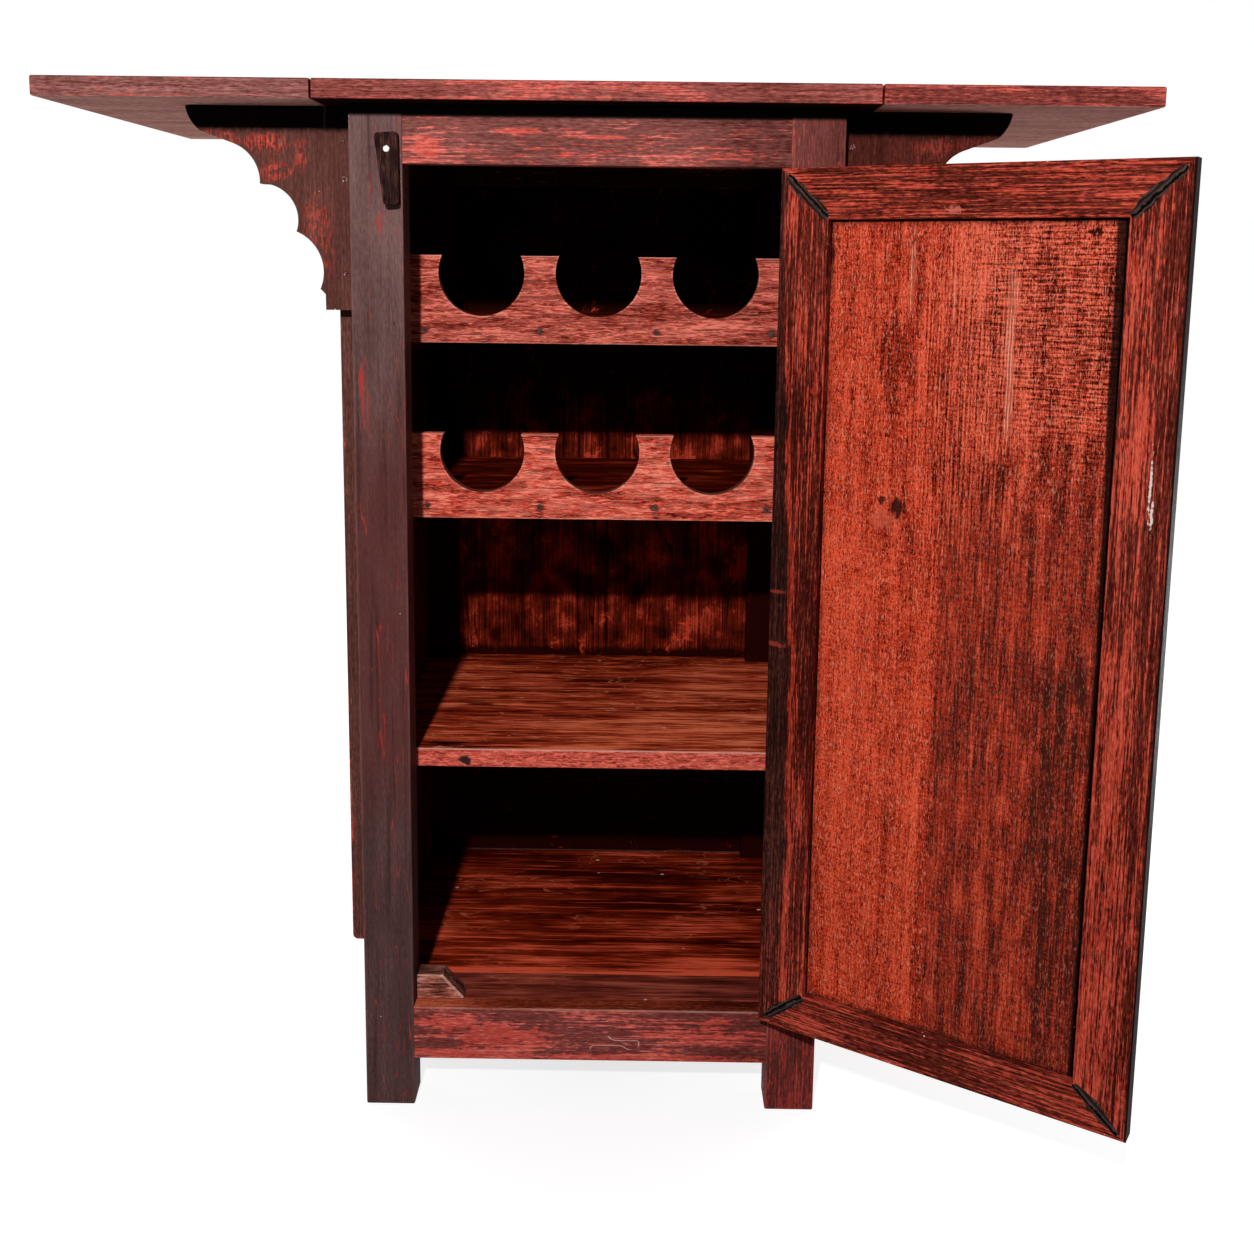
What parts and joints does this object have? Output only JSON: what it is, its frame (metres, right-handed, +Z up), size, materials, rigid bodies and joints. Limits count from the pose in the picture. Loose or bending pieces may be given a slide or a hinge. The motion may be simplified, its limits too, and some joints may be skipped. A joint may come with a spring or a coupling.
{
  "type": "wine cabinet",
  "caption": "Bar-height wooden wine cabinet with a framed door, scalloped bottle cradles over a plain shelf, fold-over top leaves and hinged gate brackets under them.",
  "frame": {"origin": "on the floor under the middle of the box round the cabinet as it stands, door open and top unfolded", "axes": "+X to the viewer's right, +Y to the back, +Z up"},
  "size_m": [1.0668, 0.6589, 1.0703],
  "materials": {
    "dark_frame_wood": "worn dark lacquer",
    "red_brown_rail_wood": "worn dark lacquer",
    "top_wood": "worn dark lacquer",
    "panel_wood": "worn red lacquer",
    "shelf_wood": "worn red lacquer",
    "inner_wood": "dark stain",
    "dark_iron": "dark oxide",
    "bright_steel": "worn bright"
  },
  "bodies": {
    "carcass": {"centre_top_board": "top_wood", "deck_cleats": "inner_wood", "door_hinge_leg_plates": "dark_iron", "door_hinge_pins": "dark_iron", "door_stop_block": "shelf_wood", "front_bottom_rail": "red_brown_rail_wood", "front_deck_board": "shelf_wood", "front_top_rail": "red_brown_rail_wood", "left_back_board": "inner_wood", "left_bottom_rail": "red_brown_rail_wood", "left_front_leg": "dark_frame_wood", "left_rear_leg": "dark_frame_wood", "left_side_panel": "panel_wood", "left_top_rail": "red_brown_rail_wood", "lower_bottle_cradle": "shelf_wood", "lower_rack_shelf": "shelf_wood", "main_deck_board": "shelf_wood", "middle_back_board": "inner_wood", "plain_shelf": "shelf_wood", "rack_cleats": "inner_wood", "rack_nails": "dark_iron", "rear_bottom_rail": "red_brown_rail_wood", "rear_top_rail": "red_brown_rail_wood", "right_back_board": "inner_wood", "right_bottom_rail": "red_brown_rail_wood", "right_front_leg": "dark_frame_wood", "right_rear_leg": "dark_frame_wood", "right_side_panel": "panel_wood", "right_top_rail": "red_brown_rail_wood", "shelf_cleats": "inner_wood", "side_hinge_pins": "dark_iron", "side_hinge_plates": "dark_iron", "top_hinge_pins": "dark_iron", "top_hinge_plates": "dark_iron", "turn_button_screw": "bright_steel", "upper_bottle_cradle": "shelf_wood", "upper_rack_shelf": "shelf_wood"},
    "door": {"door_bottom_rail": "red_brown_rail_wood", "door_hinge_stile": "dark_frame_wood", "door_top_rail": "red_brown_rail_wood", "door_free_stile": "dark_frame_wood", "door_panel": "panel_wood", "door_knob": "red_brown_rail_wood", "door_hinge_door_plates": "dark_iron"},
    "turn_button": {"turn_button": "dark_frame_wood"},
    "left_leaf": {"left_leaf_board": "top_wood", "left_leaf_hinge_plates": "dark_iron"},
    "right_leaf": {"right_leaf_board": "top_wood", "right_leaf_hinge_plates": "dark_iron"},
    "left_gate": {"left_gate_post": "dark_frame_wood", "left_gate_bracket": "dark_frame_wood", "left_gate_screws": "bright_steel", "left_gate_hinge_plates": "dark_iron"},
    "right_gate": {"right_gate_post": "dark_frame_wood", "right_gate_bracket": "dark_frame_wood", "right_gate_screws": "bright_steel", "right_gate_hinge_plates": "dark_iron"}
  },
  "joints": [
    {"name": "door_hinge", "type": "hinge", "parent": "carcass", "child": "door", "pos_m": [0.187, -0.11334, 0.553], "axis": [0, 0, 1], "range_deg": [-148, 32]},
    {"name": "turn_button_pivot", "type": "hinge", "parent": "carcass", "child": "turn_button", "pos_m": [-0.201, -0.11034, 1.004], "axis": [0, -1, 0], "range_deg": [-142, 134]},
    {"name": "left_leaf_fold", "type": "hinge", "parent": "carcass", "child": "left_leaf", "pos_m": [-0.2692, 0.09966, 1.0673], "axis": [0, 1, 0], "range_deg": [0, 180]},
    {"name": "right_leaf_fold", "type": "hinge", "parent": "carcass", "child": "right_leaf", "pos_m": [0.2692, 0.09966, 1.0673], "axis": [0, -1, 0], "range_deg": [0, 180]},
    {"name": "left_gate_swing", "type": "hinge", "parent": "carcass", "child": "left_gate", "pos_m": [-0.2419, -0.02844, 0.505], "axis": [0, 0, -1], "range_deg": [0, 90]},
    {"name": "right_gate_swing", "type": "hinge", "parent": "carcass", "child": "right_gate", "pos_m": [0.2419, -0.02844, 0.505], "axis": [0, 0, 1], "range_deg": [0, 90]}
  ]
}
